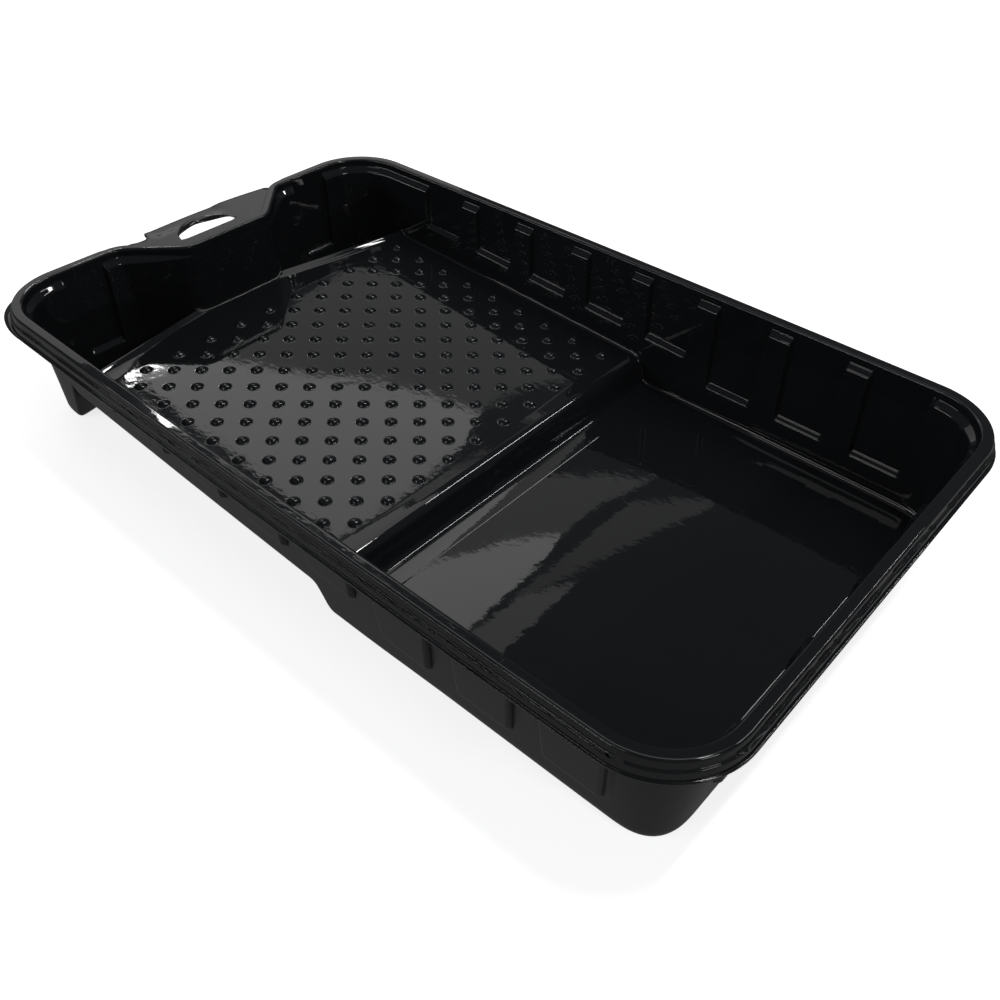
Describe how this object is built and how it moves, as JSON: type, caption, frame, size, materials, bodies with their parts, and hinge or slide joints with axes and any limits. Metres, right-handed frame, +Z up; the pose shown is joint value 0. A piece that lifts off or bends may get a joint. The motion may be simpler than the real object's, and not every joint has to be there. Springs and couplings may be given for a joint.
{
  "type": "paint roller tray",
  "caption": "Deep-well paint roller tray formed from thin black plastic, with a dimpled rolling ramp, hollow feet at the head, a stepped rim and a slotted hang tab.",
  "frame": {"origin": "middle of the bounding box in plan, on the surface the tray rests on", "axes": "+X runs along the tray from the hang tab at the head to the deep well, +Y runs across it, +Z is up"},
  "size_m": [0.4658, 0.2768, 0.0684],
  "materials": {
    "sheet": "high gloss inside the tray, with light scuffs and thermoforming ripple"
  },
  "bodies": {
    "root": {"rolling_ramp": "sheet", "ramp_step": "sheet", "well_floor": "sheet", "left_wall": "sheet", "right_wall": "sheet", "head_wall": "sheet", "deep_end_wall": "sheet", "left_rim": "sheet", "right_rim": "sheet", "head_rim": "sheet", "deep_end_rim": "sheet", "left_foot": "sheet", "right_foot": "sheet", "hang_tab": "sheet"}
  },
  "joints": []
}
